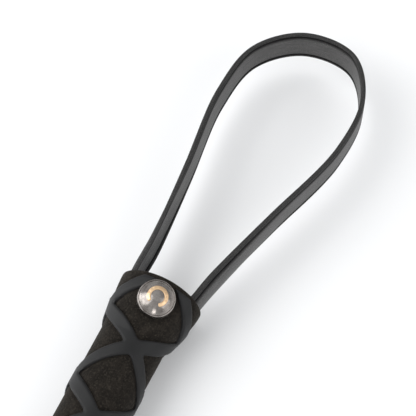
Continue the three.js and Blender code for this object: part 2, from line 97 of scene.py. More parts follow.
# Stud
STUD_PLACE = -7
STUD_RADIUS = 7
STUD_RIM_WIDTH = 0.5
STUD_RIM_TOP = 17
STUD_FOOT = 12.6
STUD_DOME_HEIGHT = 2.8
INLAY_RADIUS = 3.9
INLAY_BAND = 1.5
INLAY_HEIGHT = 0.35
INLAY_GAP_ANGLE = math.radians(62)
NAIL_HOLE_ANGLES = (0.55, 1.05, 1.55)
NAIL_HOLE_DEPTH = 0.28

# Wrist strap
STRAP_WIDTH = 15
STRAP_THICKNESS = 1.9
STRAP_FULL_WIDTH_AT = 15
STRAP_STEP = 0.9
RIM_ROUNDING = 0.62
RIM_SHADE = 0.6
GROOVE_INSET = 1.5
GROOVE_DEPTH = 0.55
TAIL_DEPTH = 12.5
LEFT_TAIL = {"mouth": 12.2, "inner": 9.3}
RIGHT_TAIL = {"mouth": -15, "inner": -10.6}
TAIL_WIDTH = 8.5
MOUTH_STRAP_WIDTH = 14
CURL_RADIUS = 13.5
CURL_END = 64
LOOP_ROUTE = [
    (19.4, 12.4), (51.4, 14), (86.4, 17.5), (110.9, 13.6), (125.4, -3),
    (124.4, -24.5), (106.9, -36.5), (81.9, -37), (45.4, -26.5), (9.4, -17.2),
]

# Shaft and tip
ROD_START, ROD_END = -17, -588
ROD_BUTT_RADIUS, ROD_TIP_RADIUS = 3.8, 1.5
BRAID_START, BRAID_END = -184, -578
BRAID_WALL = 0.7
BRAID_STRANDS = 8
BRAID_PITCH = 3.4
BRAID_RELIEF = 0.4
NECK_END = -206
NECK_TIP_RADIUS = 5.7
LEAF_THICKNESS = 1.6
LEAF_TAB_START, LEAF_TAB_END = -556, -584
TONGUE_HINGE = -604
TONGUE_LENGTH = 46
TONGUE_END_HALF_WIDTH = 13
TONGUE_ROOT_HALF_WIDTH = 10
TONGUE_CORNER = 6
BINDING_START, BINDING_END = -560, -580
THREAD_PITCH = 0.8
STITCH_INSET = 2.2
STITCH_STEP = 2.6
STITCH_LENGTH = 1.9
STITCH_RADIUS = 0.26

# View: from above the shaft side of the butt, turned so that the handle runs down to the left
VIEW_FROM = (-106.0, -93.4, 348.5)
VIEW_AIM = (39.6, -0.5, 0.0)
VIEW_ROLL = math.radians(28.9)
VIEW_LENS = 86.5

# Studio light: the sky and the key come from beyond the left of the view
LIGHT_FROM = (-0.48, 0.88, 1.5)
SKY_DARK = 0.36
SKY_BRIGHT = 0.98
SOFTBOXES = {
    "key": {"toward": LIGHT_FROM, "size": 700, "distance": 700, "power": 2.9},
    "glance": {"toward": (-0.89, -0.45, 0.42), "size": 220, "distance": 800, "power": 0.6},
    "side": {"toward": (-0.25, 1.0, 0.2), "size": 420, "distance": 700, "power": 1.6},
    "fill": {"toward": (0.1, -1.0, 0.5), "size": 600, "distance": 700, "power": 1.4},
}


# ---------------------------------------------------------------- frame

def mount(name):
    return next(m for m in frame["record"]["mounts"] if m["name"] == name)


def crop_matrix():
    """From the crop's own frame to the model's: the butt face tells both place and tilt."""
    plug_proud = 0.5 * MM
    along = Vector(mount("butt_face")["axis"]).normalized()
    across = Vector((0, 1, 0))
    up = along.cross(across)
    mouth = Vector(mount("butt_face")["pos_m"]) - along * plug_proud
    turn = Matrix((along, across, up)).transposed().to_4x4()
    return Matrix.Translation(mouth) @ turn @ Matrix.Scale(MM, 4)


CROP = crop_matrix()
STUD = CROP @ Matrix.Rotation(GRIP_ROLL, 4, "X") @ Matrix.Translation((STUD_PLACE, 0, 0))


def tongue_matrix():
    """From the tongue's frame, hinged at the tip, to the model's."""
    hinge = CROP @ Vector((TONGUE_HINGE, 0, 0))
    up = Vector(mount("tongue_face")["axis"]).normalized()
    across = Vector((0, 1, 0))
    along = across.cross(up)
    turn = Matrix((along, across, up)).transposed().to_4x4()
    return Matrix.Translation(hinge) @ turn @ Matrix.Scale(MM, 4)


TONGUE = tongue_matrix()


def crop_point(x, y=0.0, z=0.0):
    return tuple(CROP @ Vector((x, y, z)))


def lerp(a, b, t):
    return a + (b - a) * t


def smooth(t):
    t = np.clip(t, 0, 1)
    return t * t * (3 - 2 * t)


# ---------------------------------------------------------------- shared outlines

def pommel_swell(x):
    """How far the pommel's flare has opened: 0 where it starts and 1 at the mouth."""
    u = np.clip(1 + np.asarray(x, float) / FLARE_LENGTH, 0, 1)
    return 0.5 * u * (2 - u) + 0.5 * u * u * (3 - 2 * u)


def grip_radius(x):
    along = (np.asarray(x, float) + GRIP_LENGTH) / (GRIP_LENGTH - FLARE_LENGTH)
    taper = lerp(GRIP_NECK_RADIUS, GRIP_RADIUS, np.minimum(along, 1))
    return taper + (POMMEL_RADIUS - GRIP_RADIUS) * pommel_swell(x)


def leaned(points, roll=0.0):
    """Turns points by the grip's roll and moves them with the pommel's sideways lean."""
    points = points @ np.array(Matrix.Rotation(roll, 3, "X")).T
    points[..., 1] -= POMMEL_LEAN * pommel_swell(points[..., 0])
    return points


def rod_radius(x):
    return lerp(ROD_BUTT_RADIUS, ROD_TIP_RADIUS, (x - ROD_START) / (ROD_END - ROD_START))


def braid_radius(x):
    return rod_radius(x) + CLEARANCE + BRAID_WALL


def smooth_min(a, b, blend):
    """The smaller of two values, with the crease between them filled."""
    near = np.maximum(blend - np.abs(a - b), 0) / blend
    return np.minimum(a, b) - near * near * blend / 4


def lattice_distance(x, angle):
    """Distance over the grip's surface to the middle of the nearest band."""
    radius = grip_radius(np.minimum(x, 0))
    slant = np.arctan(LATTICE_LEAD / (2 * math.pi * radius))
    pulled = x - LATTICE_SHIFT - LATTICE_PULL * np.cos(2 * (angle - LATTICE_PULL_ANGLE))
    bands = []
    for hand in (1, -1):
        away = angle - LATTICE_TURN - hand * 2 * math.pi * pulled / LATTICE_LEAD
        away = (away + math.pi / 2) % math.pi - math.pi / 2
        bands.append(np.abs(away) * radius * np.sin(slant))
    ring = np.abs(x + LATTICE_END - LATTICE_RING / 2) + (BAND_WIDTH - LATTICE_RING) / 2
    return smooth_min(smooth_min(*bands, CROSSING_FILLET), ring, RING_FILLET)


# ---------------------------------------------------------------- mesh helpers

def finish_mesh(name, vertices, faces, layers=None):
    """A mesh object at the origin, from points in metres, with its UV layers."""
    mesh = bpy.data.meshes.new(name)
    mesh.from_pydata([tuple(v) for v in vertices], [], [tuple(f) for f in faces])
    for layer_name, values in (layers or {}).items():
        layer = mesh.uv_layers.new(name=layer_name)
        layer.data.foreach_set("uv", np.asarray(values, np.float32).ravel())
    edit = bmesh.new()
    edit.from_mesh(mesh)
    bmesh.ops.remove_doubles(edit, verts=edit.verts, dist=1e-7)
    bmesh.ops.dissolve_degenerate(edit, edges=edit.edges, dist=1e-7)
    bmesh.ops.recalc_face_normals(edit, faces=edit.faces)
    edit.to_mesh(mesh)
    edit.free()
    mesh.polygons.foreach_set("use_smooth", [True] * len(mesh.polygons))
    mesh.set_sharp_from_angle(angle=SHARP_ANGLE)
    piece = bpy.data.objects.new(name, mesh)
    bpy.context.scene.collection.objects.link(piece)
    return piece


def moved(points, matrix):
    """Points in millimetres, placed in the model's frame in metres."""
    return points @ np.array(matrix.to_3x3()).T + np.array(matrix.translation)


def grid_mesh(name, points, matrix, wrap_rows=False, wrap_columns=False, uv=None, shade=None):
    """A sheet through an array of points [row, column], closed on itself where it wraps.

    The shade is one value for each point, kept in a layer of its own.
    """
    rows, columns = points.shape[:2]
    placed = moved(points.reshape(-1, 3), matrix)
    row = np.arange(rows if wrap_rows else rows - 1)
    column = np.arange(columns if wrap_columns else columns - 1)
    r, c = (a.ravel() for a in np.meshgrid(row, column, indexing="ij"))
    corners = [(r, c), (r + 1, c), (r + 1, c + 1), (r, c + 1)]
    faces = np.stack([(i % rows) * columns + j % columns for i, j in corners], 1)
    layers = {}
    if uv is not None:
        u, v = uv
        layers["Surface"] = np.stack([np.stack([u(i, j), v(i, j)], 1) for i, j in corners], 1)
    if shade is not None:
        value = shade.ravel()[faces]
        layers["Shade"] = np.stack([value, value], 2)
    return finish_mesh(name, placed, faces, layers)


def capped(points):
    """Rings of points with each end drawn in to its middle."""
    ends = [np.repeat(points[k].mean(0)[None, None], points.shape[1], 1) for k in (0, -1)]
    return np.concatenate([ends[0], points, ends[1]])


def ring_points(x, radius, angle):
    """Points about the X axis.  Angle 0 faces +Z and a quarter turn faces -Y."""
    return np.stack([x + 0 * radius, -radius * np.sin(angle), radius * np.cos(angle)], -1)


def rounded(points, radius, steps):
    """An open outline with every corner between its two ends rounded off."""
    points = [np.array(p, float) for p in points]
    out = [points[0]]
    for before, corner, after in zip(points, points[1:], points[2:]):
        into, away = before - corner, after - corner
        reach = min(radius, np.linalg.norm(into) / 2, np.linalg.norm(away) / 2)
        start = corner + into / np.linalg.norm(into) * reach
        end = corner + away / np.linalg.norm(away) * reach
        for t in np.linspace(0, 1, steps + 1):
            out.append((1 - t) ** 2 * start + 2 * t * (1 - t) * corner + t * t * end)
    out.append(points[-1])
    return np.array(out)


def lathe(name, outline, segments, matrix=CROP, about_z=False, closed=False, shape=None):
    """A turned piece from [place, radius] points along X, or along Z."""
    outline = np.asarray(outline, float)
    angle = np.linspace(0, 2 * math.pi, segments, endpoint=False)
    place, radius = outline[:, :1], outline[:, 1:]
    points = ring_points(place, radius * np.ones_like(angle)[None], angle[None])
    if about_z:
        points = points[..., [1, 2, 0]]
    points = shape(points) if shape else points
    steps = np.concatenate([[0], np.cumsum(np.linalg.norm(np.diff(outline, axis=0), axis=1))])
    steps = np.append(steps, steps[-1])
    around = 2 * math.pi * radius.max() / segments
    return grid_mesh(name, points, matrix, wrap_rows=closed, wrap_columns=True,
                     uv=(lambda i, j: steps[i] / 10, lambda i, j: j * around / 10))


def dense(outline, step):
    """The same outline with no segment longer than a step."""
    outline = np.asarray(outline, float)
    out = []
    for a, b in zip(outline, outline[1:]):
        count = max(1, math.ceil(np.linalg.norm(b - a) / step))
        out += [lerp(a, b, k / count) for k in range(count)]
    return np.array(out + [outline[-1]])


def joined(name, parts):
    """One object from several, all at the origin."""
    vertices, faces, start = [], [], 0
    for part in parts:
        mesh = part.data
        vertices += [tuple(v.co) for v in mesh.vertices]
        faces += [tuple(start + i for i in p.vertices) for p in mesh.polygons]
        start += len(mesh.vertices)
        bpy.data.objects.remove(part)
    return finish_mesh(name, vertices, faces)


# ---------------------------------------------------------------- material helpers

class Finish:
    """A Principled material with short calls for its nodes."""

    def __init__(self, name, roughness, metallic=0.0, specular=0.5):
        self.material = bpy.data.materials.new(name)
        self.material.use_nodes = True
        self.nodes = self.material.node_tree.nodes
        self.links = self.material.node_tree.links
        self.shader = self.nodes["Principled BSDF"]
        self.shader.inputs["Roughness"].default_value = roughness
        self.shader.inputs["Metallic"].default_value = metallic
        self.shader.inputs["Specular IOR Level"].default_value = specular
        self.place = self.nodes.new("ShaderNodeTexCoord").outputs["Object"]

    def link(self, source, target):
        self.links.new(source, target)

    def layer(self, name):
        node = self.nodes.new("ShaderNodeUVMap")
        node.uv_map = name
        return node.outputs["UV"]

    def stretched(self, vector, scale):
        node = self.nodes.new("ShaderNodeMapping")
        node.inputs["Scale"].default_value = scale
        self.link(vector, node.inputs["Vector"])
        return node.outputs["Vector"]

    def noise(self, vector, scale, detail=4.0, roughness=0.5, distortion=0.0):
        node = self.nodes.new("ShaderNodeTexNoise")
        for key, value in (("Scale", scale), ("Detail", detail), ("Roughness", roughness),
                           ("Distortion", distortion)):
            node.inputs[key].default_value = value
        self.link(vector, node.inputs["Vector"])
        return node.outputs["Fac"]

    def cells(self, vector, scale):
        node = self.nodes.new("ShaderNodeTexVoronoi")
        node.feature = "DISTANCE_TO_EDGE"
        node.inputs["Scale"].default_value = scale
        self.link(vector, node.inputs["Vector"])
        return node.outputs["Distance"]

    def ramp(self, value, stops):
        node = self.nodes.new("ShaderNodeValToRGB")
        while len(node.color_ramp.elements) < len(stops):
            node.color_ramp.elements.new(0.5)
        for element, (place, colour) in zip(node.color_ramp.elements, stops):
            element.position = place
            colour = (colour,) * 3 if isinstance(colour, (int, float)) else colour
            element.color = (*colour, 1)
        self.link(value, node.inputs["Fac"])
        return node.outputs["Color"]

    def math(self, operation, a, b):
        node = self.nodes.new("ShaderNodeMath")
        node.operation = operation
        for socket, value in zip(node.inputs, (a, b)):
            if isinstance(value, (int, float)):
                socket.default_value = value
            else:
                self.link(value, socket)
        return node.outputs[0]

    def weighed(self, a, share_a, b, share_b):
        """The sum of two values, each times its share."""
        a, b = self.math("MULTIPLY", a, share_a), self.math("MULTIPLY", b, share_b)
        return self.math("ADD", a, b)

    def mix(self, factor, a, b):
        node = self.nodes.new("ShaderNodeMix")
        node.data_type = "RGBA"
        for socket, value in zip((node.inputs["Factor"], *node.inputs[6:8]), (factor, a, b)):
            if isinstance(value, tuple):
                socket.default_value = (*value, 1)
            else:
                self.link(value, socket)
        return node.outputs[2]

    def first(self, vector):
        node = self.nodes.new("ShaderNodeSeparateXYZ")
        self.link(vector, node.inputs[0])
        return node.outputs[0]

    def colour(self, socket):
        self.link(socket, self.shader.inputs["Base Color"])

    def ranged(self, value, socket, low, high):
        node = self.nodes.new("ShaderNodeMapRange")
        node.inputs["To Min"].default_value = low
        node.inputs["To Max"].default_value = high
        self.link(value, node.inputs["Value"])
        self.link(node.outputs[0], self.shader.inputs[socket])

    def roughness(self, value, low, high):
        self.ranged(value, "Roughness", low, high)

    def bump(self, heights):
        """Stacked bumps from (height, strength, distance in millimetres)."""
        before = None
        for height, strength, distance in heights:
            node = self.nodes.new("ShaderNodeBump")
            node.inputs["Strength"].default_value = strength
            node.inputs["Distance"].default_value = distance * MM
            self.link(height, node.inputs["Height"])
            if before is not None:
                self.link(before, node.inputs["Normal"])
            before = node.outputs["Normal"]
        self.link(before, self.shader.inputs["Normal"])

    def sheen(self, weight, roughness, tint):
        self.shader.inputs["Sheen Weight"].default_value = weight
        self.shader.inputs["Sheen Roughness"].default_value = roughness
        self.shader.inputs["Sheen Tint"].default_value = (*tint, 1)


# ---------------------------------------------------------------- materials

def suede_finish():
    f = Finish("brown_black_suede", 0.95, specular=0.15)
    mottle = f.noise(f.place, 260, detail=5, roughness=0.6)
    nap = f.noise(f.stretched(f.place, (1.6, 1, 1)), 800, detail=5, roughness=0.8,
                  distortion=0.6)
    fibre = f.noise(f.place, 1500, detail=3, roughness=0.75, distortion=0.4)
    blend = f.weighed(mottle, 0.45, nap, 0.55)
    base = f.ramp(blend, [(0.36, (0.0042, 0.0033, 0.0025)), (0.50, (0.0095, 0.0077, 0.0060)),
                          (0.64, (0.021, 0.0172, 0.0135))])
    flecks = f.ramp(fibre, [(0.52, 0.0), (0.66, 1.0)])
    f.colour(f.mix(flecks, base, (0.030, 0.0255, 0.020)))
    f.roughness(nap, 0.85, 1.0)
    f.bump([(mottle, 0.35, 0.5), (nap, 0.75, 0.35), (fibre, 0.5, 0.12)])
    f.sheen(0.10, 0.35, (0.72, 0.66, 0.58))
    return f.material


def scaled(tone, share):
    return tuple(share * c for c in tone)


def rubber_finish(name, tone):
    f = Finish(name, 0.55, specular=0.25)
    cloud = f.noise(f.place, 120, detail=4, roughness=0.55)
    speck = f.noise(f.place, 3000, detail=3, roughness=0.65)
    base = f.ramp(cloud, [(0.3, scaled(tone, 0.82)), (0.7, scaled(tone, 1.2))])
    dust = f.ramp(speck, [(0.62, 0.0), (0.8, 1.0)])
    f.colour(f.mix(dust, base, scaled(tone, 1.9)))
    f.roughness(cloud, 0.46, 0.60)
    f.bump([(speck, 0.22, 0.05), (cloud, 0.15, 0.2)])
    f.sheen(0.03, 0.4, (0.9, 0.93, 0.95))
    return f.material


def strap_finish():
    """Leather: fine grain, long wear streaks, dark smooth edges, painted shade in the grooves."""
    f = Finish("strap_leather", 0.45)
    surface = f.layer("Surface")
    grain = f.cells(surface, 16)
    pores = f.noise(surface, 34, detail=4, roughness=0.6)
    streak = f.noise(f.stretched(surface, (0.5, 5, 1)), 2.6, detail=5, roughness=0.6)
    base = f.ramp(streak, [(0.32, (0.032, 0.031, 0.0315)), (0.5, (0.061, 0.0595, 0.0585)),
                           (0.7, (0.104, 0.100, 0.098))])
    fleck = f.ramp(f.noise(surface, 22, detail=2, roughness=0.6), [(0.50, 0.0), (0.68, 0.7)])
    base = f.mix(fleck, base, (0.22, 0.21, 0.20))
    base = f.mix(f.ramp(pores, [(0.42, 0.6), (0.60, 0.0)]), base, (0.008, 0.0078, 0.008))
    # The Shade layer darkens the rims and adds painted shade along each pressed groove
    dark_rim_and_groove_shade = f.first(f.layer("Shade"))
    f.colour(f.mix(dark_rim_and_groove_shade, base, (0.0030, 0.0028, 0.0030)))
    f.ranged(dark_rim_and_groove_shade, "Specular IOR Level", 0.50, 0.05)
    f.ranged(pores, "Roughness", 0.38, 0.56)
    f.bump([(f.ramp(grain, [(0.0, 0.0), (0.16, 1.0)]), 0.35, 0.10), (pores, 0.45, 0.12),
            (streak, 0.25, 0.3)])
    return f.material


def tongue_finish():
    f = Finish("tongue_leather", 0.5, specular=0.45)
    surface = f.layer("Surface")
    grain = f.cells(surface, 13)
    pores = f.noise(surface, 28, detail=4, roughness=0.6)
    cloud = f.noise(surface, 1.6, detail=4, roughness=0.55)
    base = f.ramp(cloud, [(0.3, (0.018, 0.0175, 0.018)), (0.7, (0.040, 0.038, 0.038))])
    f.colour(f.mix(f.ramp(pores, [(0.40, 0.5), (0.6, 0.0)]), base, (0.012, 0.0115, 0.012)))
    f.roughness(pores, 0.40, 0.62)
    f.bump([(f.ramp(grain, [(0.0, 0.0), (0.18, 1.0)]), 0.5, 0.14), (pores, 0.4, 0.1),
            (cloud, 0.3, 0.5)])
    return f.material


def metal_finish(name, colour, worn, low, high, spun=0.0):
    f = Finish(name, low, metallic=1.0)
    cloud = f.noise(f.place, 420, detail=4, roughness=0.6)
    scratch = f.noise(f.stretched(f.place, (1, 9, 2)), 900, detail=3, roughness=0.7)
    f.colour(f.mix(f.ramp(cloud, [(0.40, 0.0), (0.75, 1.0)]), colour, worn))
    f.roughness(f.weighed(cloud, 0.6, scratch, 0.4), low, high)
    f.bump([(scratch, 0.06, 0.03), (cloud, 0.05, 0.08)])
    if spun:
        f.shader.inputs["Anisotropic"].default_value = spun
        turned = f.nodes.new("ShaderNodeTangent")
        turned.direction_type = "UV_MAP"
        turned.uv_map = "Surface"
        f.link(turned.outputs[0], f.shader.inputs["Tangent"])
    return f.material


def yarn_finish(name, dark, light, twist):
    """Plaited or wound yarn: fine filaments along the strands, with a soft sheen."""
    f = Finish(name, 0.7, specular=0.35)
    filament = f.noise(f.stretched(f.place, (1, twist, twist)), 2600, detail=3, roughness=0.6)
    cloud = f.noise(f.place, 160, detail=3)
    strands = f.ramp(filament, [(0.35, dark), (0.7, light)])
    f.colour(f.mix(f.math("MULTIPLY", cloud, 0.8), strands, dark))
    f.roughness(filament, 0.55, 0.85)
    f.bump([(filament, 0.6, 0.10)])
    f.sheen(0.25, 0.4, (0.8, 0.82, 0.86))
    return f.material


def moulded_finish(name, tone, rough):
    f = Finish(name, rough, specular=0.4)
    spark = f.noise(f.place, 2200, detail=3, roughness=0.6)
    cloud = f.noise(f.place, 90, detail=4)
    f.colour(f.ramp(cloud, [(0.3, scaled(tone, 0.75)), (0.7, scaled(tone, 1.25))]))
    f.roughness(cloud, rough - 0.08, rough + 0.1)
    f.bump([(spark, 0.3, 0.06)])
    return f.material


def fibreglass_finish():
    f = Finish("fibreglass_rod", 0.35, specular=0.5)
    strand = f.noise(f.stretched(f.place, (0.02, 1, 1)), 2600, detail=3, roughness=0.6)
    f.colour(f.ramp(strand, [(0.3, (0.45, 0.43, 0.26)), (0.7, (0.68, 0.66, 0.46))]))
    f.roughness(strand, 0.28, 0.45)
    f.bump([(strand, 0.2, 0.05)])
    return f.material


SUEDE = suede_finish()
RUBBER = rubber_finish("lattice_rubber", (0.0080, 0.0080, 0.0083))
NECK_RUBBER = rubber_finish("neck_rubber", (0.0085, 0.0085, 0.0085))
STRAP_LEATHER = strap_finish()
TONGUE_LEATHER = tongue_finish()
NICKEL = metal_finish("polished_nickel", (0.31, 0.285, 0.265), (0.15, 0.13, 0.12), 0.15, 0.26,
                      spun=0.8)
COPPER = metal_finish("rose_copper", (0.78, 0.55, 0.34), (0.62, 0.42, 0.25), 0.30, 0.45)
NAIL_STEEL = metal_finish("nail_steel", (0.55, 0.56, 0.57), (0.40, 0.38, 0.36), 0.25, 0.5)
NYLON = yarn_finish("braided_nylon", (0.010, 0.010, 0.012), (0.040, 0.041, 0.046), 3.0)
THREAD = yarn_finish("waxed_thread", (0.009, 0.009, 0.010), (0.034, 0.033, 0.035), 0.5)
PALE_THREAD = yarn_finish("stitching_thread", (0.030, 0.029, 0.030), (0.085, 0.083, 0.085), 1.0)
PLASTIC = moulded_finish("moulded_plastic", (0.030, 0.030, 0.031), 0.5)
FIBREGLASS = fibreglass_finish()


def dress(piece, finish):
    piece.data.materials.clear()
    piece.data.materials.append(finish)


def settle(piece, finish, body, slot, *nodes):
    """Gives a rigid piece its finish and body, hides the CAD nodes it stands for; slot is unused.
    """
    dress(piece, finish)
    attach(piece, body)
    if nodes:
        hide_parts(*nodes)


# ---------------------------------------------------------------- grip

def grip_sleeve():
    """Suede over the core: it dips beside the bands and rolls over the lip into the mouth."""
    around = np.linspace(0, 2 * math.pi, GRIP_COLUMNS, endpoint=False)
    places = np.arange(-GRIP_LENGTH, -LIP_ROUNDING, GRIP_STEP)
    lip_turn = np.linspace(0, math.pi, 9)[1:]
    lip_middle = (POMMEL_RADIUS + MOUTH_RADIUS) / 2
    lip_half = (POMMEL_RADIUS - MOUTH_RADIUS) / 2
    lip = [(-LIP_ROUNDING * (1 - math.sin(t)), lip_middle + lip_half * math.cos(t))
           for t in lip_turn]
    socket = [(-SOCKET_DEPTH, SOCKET_END_RADIUS), (-SOCKET_DEPTH - 1, 3)]
    outer = np.stack([places, grip_radius(places)], 1)
    start = [(-GRIP_LENGTH, 5), (-GRIP_LENGTH, GRIP_NECK_RADIUS - 0.6)]
    outline = np.array([*start, *outer, *lip, *dense([lip[-1], *socket], 3)[1:]])
    x, angle = np.meshgrid(outline[:, 0], around, indexing="ij")
    radius = np.repeat(outline[:, 1:], len(around), 1)
    away = lattice_distance(x, angle) - BAND_WIDTH / 2
    dip = SUEDE_DIP * np.exp(-((away - 0.35) / 0.45) ** 2)
    stud_away = np.hypot(x - STUD_PLACE, radius * np.sin(angle)) - STUD_RADIUS
    dip += np.where(np.cos(angle) > 0, STUD_DIP * np.exp(-(stud_away / 0.9) ** 2), 0)
    on_skin = np.zeros(len(outline))
    on_skin[len(start):len(start) + len(outer)] = 1
    fade = smooth(-outline[:, 0] / 3) * on_skin
    crown = LIP_CROWN * smooth(x / 8 + 1) * np.cos(angle) ** 2
    points = ring_points(x, radius - dip * fade[:, None], angle)
    points[..., 0] += crown
    return grid_mesh("grip_suede", leaned(points, GRIP_ROLL), CROP, wrap_columns=True)


def lattice_depth(x, angle):
    """How far a place on the grip's surface is inside the net's outline; negative is outside."""
    inside = BAND_WIDTH / 2 - lattice_distance(x, angle)
    stud_away = np.hypot(x - STUD_PLACE, grip_radius(x) * np.sin(angle)) - STUD_RADIUS - 0.2
    stud_away = np.where(np.cos(angle) > 0, stud_away, 99)
    return np.minimum(np.minimum(inside, stud_away), np.minimum(-0.6 - x, x + LATTICE_END))


def grip_lattice():
    """The rubber net: flat bands with rounded shoulders, whose sides run down into the suede."""
    step = LATTICE_STEP
    columns = round(2 * math.pi * GRIP_RADIUS / step)
    x, angle = np.meshgrid(np.arange(-LATTICE_END - 0.4, 0, step),
                           np.linspace(0, 2 * math.pi, columns, endpoint=False), indexing="ij")
    for _ in range(3):
        radius = grip_radius(np.minimum(x, 0))
        depth = lattice_depth(x, angle)
        slope_x = (lattice_depth(x + 0.02, angle) - lattice_depth(x - 0.02, angle)) / 0.04
        turn = 0.02 / radius
        slope_a = (lattice_depth(x, angle + turn) - lattice_depth(x, angle - turn)) / 0.04
        steep = np.maximum(slope_x ** 2 + slope_a ** 2, 0.3)
        near = np.abs(depth) < 0.62 * step
        x = x - np.where(near, depth * slope_x / steep, 0)
        angle = angle - np.where(near, depth * slope_a / steep, 0) / radius
    depth = lattice_depth(x, angle)
    shoulder = np.clip(depth / BAND_SHOULDER, 0, 1)
    height = BAND_HEIGHT - BAND_SHOULDER * (1 - np.sqrt(1 - (1 - shoulder) ** 2))
    top = ring_points(x, grip_radius(np.minimum(x, 0)) + height, angle)
    foot = ring_points(x, grip_radius(np.minimum(x, 0)) + BAND_FOOT, angle)
    rows, count = x.shape
    number = np.arange(rows * count).reshape(rows, count)
    inside = (depth > -0.06).ravel()
    beside = np.roll(number, -1, 1)
    corners = np.stack([number[:-1], beside[:-1], beside[1:], number[1:]], -1).reshape(-1, 4)
    held = inside[corners].sum(1)
    faces = [tuple(c) for c in corners[held == 4]]
    faces += [tuple(i for i in c if inside[i]) for c in corners[held == 3]]
    points = np.concatenate([top.reshape(-1, 3), foot.reshape(-1, 3)])
    sides = {}
    for face in faces:
        for a, b in zip(face, face[1:] + face[:1]):
            sides[a, b] = (b, a) not in sides
            if (b, a) in sides:
                sides[b, a] = False
    walls = [(b, a, a + rows * count, b + rows * count) for (a, b), outer in sides.items() if outer]
    placed = moved(leaned(points, GRIP_ROLL), CROP)
    used = np.unique(np.array([i for f in faces + walls for i in f]))
    renumber = {old: new for new, old in enumerate(used)}
    return finish_mesh("grip_net", placed[used], [[renumber[i] for i in f] for f in faces + walls])


def neck_cone():
    start = -GRIP_LENGTH - CLEARANCE / 2
    radius = GRIP_NECK_RADIUS + BAND_HEIGHT - 0.1
    outline = [(start, 8.5), (start, radius - 0.5), (start - 0.8, radius),
               (start - 3.4, radius - 0.1)]
    for k in range(5):
        x = start - 5 - 3.2 * k
        here = lerp(radius - 0.9, NECK_TIP_RADIUS + 0.9, k / 4.6)
        outline += [(x, here), (x - 0.6, here - 0.7), (x - 1.4, here - 0.75),
                    (x - 2.0, here - 0.35)]
    bore = float(braid_radius(NECK_END)) + 0.05
    outline += [(NECK_END + 0.8, NECK_TIP_RADIUS), (NECK_END, NECK_TIP_RADIUS - 0.5),
                (NECK_END, bore), (NECK_END + 3, bore)]
    return lathe("neck_sleeve", rounded(outline, 0.5, 3), segments=112)


def butt_plug():
    """A domed rubber end between the strap's two legs, with a moulded ring."""
    wall = SOCKET_END_RADIUS - 1.5
    outline = [(-SOCKET_DEPTH + 1, 0), (-SOCKET_DEPTH + 1, wall - 2), (-0.6, wall),
               (0.3, wall - 0.6), (0.5, wall - 1.2), (0.5, 6.2), (0.1, 5.9), (0.1, 5.2),
               (0.5, 4.9), (0.5, 0)]
    return lathe("end_plug", rounded(outline, 0.3, 3), segments=112, shape=leaned)


# ---------------------------------------------------------------- stud

def dome_radius():
    base = STUD_RADIUS - STUD_RIM_WIDTH - 0.1
    return (base * base + STUD_DOME_HEIGHT ** 2) / (2 * STUD_DOME_HEIGHT)


DOME_CROWN = STUD_RIM_TOP + 0.25 + STUD_DOME_HEIGHT


def stud_rim():
    inside = STUD_RADIUS - STUD_RIM_WIDTH - 0.15
    outline = [(STUD_FOOT, inside), (STUD_FOOT, STUD_RADIUS), (STUD_RIM_TOP - 0.2, STUD_RADIUS),
               (STUD_RIM_TOP + 0.35, STUD_RADIUS - 0.25), (STUD_RIM_TOP + 0.35, inside + 0.1),
               (STUD_RIM_TOP - 0.2, inside)]
    return lathe("stud_bezel", rounded(outline, 0.22, 4), segments=128, matrix=STUD, about_z=True,
                 closed=True, shape=seated)


def seated(points):
    """Ends the stud's points just under the suede, which rises toward the mouth."""
    places = np.minimum(STUD_PLACE + points[..., 0], 0)
    suede = np.sqrt(grip_radius(places) ** 2 - points[..., 1] ** 2)
    points[..., 2] = np.maximum(points[..., 2], suede - 0.8)
    return points


def stud_cap():
    sphere = dome_radius()
    heights = np.linspace(STUD_RIM_TOP + 0.25, DOME_CROWN, 28) - DOME_CROWN
    dome = [(DOME_CROWN + h, math.sqrt(max(sphere ** 2 - (sphere + h) ** 2, 0))) for h in heights]
    outline = [(STUD_RIM_TOP - 0.4, 0), (STUD_RIM_TOP - 0.4, dome[0][1]), *dome]
    return lathe("stud_dome", outline, segments=128, matrix=STUD, about_z=True)


def stud_inlay():
    """A plain horseshoe, standing a little proud of the dome, with its row of nail holes."""
    sphere = dome_radius()
    half = math.pi - INLAY_GAP_ANGLE / 2
    turns = np.linspace(-half, half, 121)
    section = np.linspace(0, 2 * math.pi, 28, endpoint=False)
    middle = INLAY_RADIUS - INLAY_BAND / 2
    points = np.zeros((len(turns), len(section), 3))
    for i, turn in enumerate(turns):
        from_end = (half - abs(turn)) * middle
        taper = math.sqrt(max(1 - (1 - min(from_end / 0.5, 1)) ** 2, 0.0009))
        wide = (INLAY_BAND / 2 - 0.12 * abs(turn) / half) * taper
        for j, t in enumerate(section):
            square = (abs(math.cos(t)) ** 4 + abs(math.sin(t)) ** 4) ** -0.25
            across = middle + wide * square * math.cos(t)
            lift = INLAY_HEIGHT * taper * square * math.sin(t)
            hole = min(abs(abs(turn) - a) for a in NAIL_HOLE_ANGLES) * middle
            if t < math.pi:
                away = hole ** 2 + (across - middle) ** 2
                lift -= NAIL_HOLE_DEPTH * math.exp(-away / 0.035)
            down = math.sqrt(sphere ** 2 - across ** 2)
            reach = sphere + lift
            out = across / sphere * reach
            points[i, j] = (out * math.cos(turn), out * math.sin(turn),
                            DOME_CROWN - sphere + down / sphere * reach)
    return grid_mesh("stud_horseshoe", capped(points), STUD, wrap_columns=True)


# ---------------------------------------------------------------- wrist strap

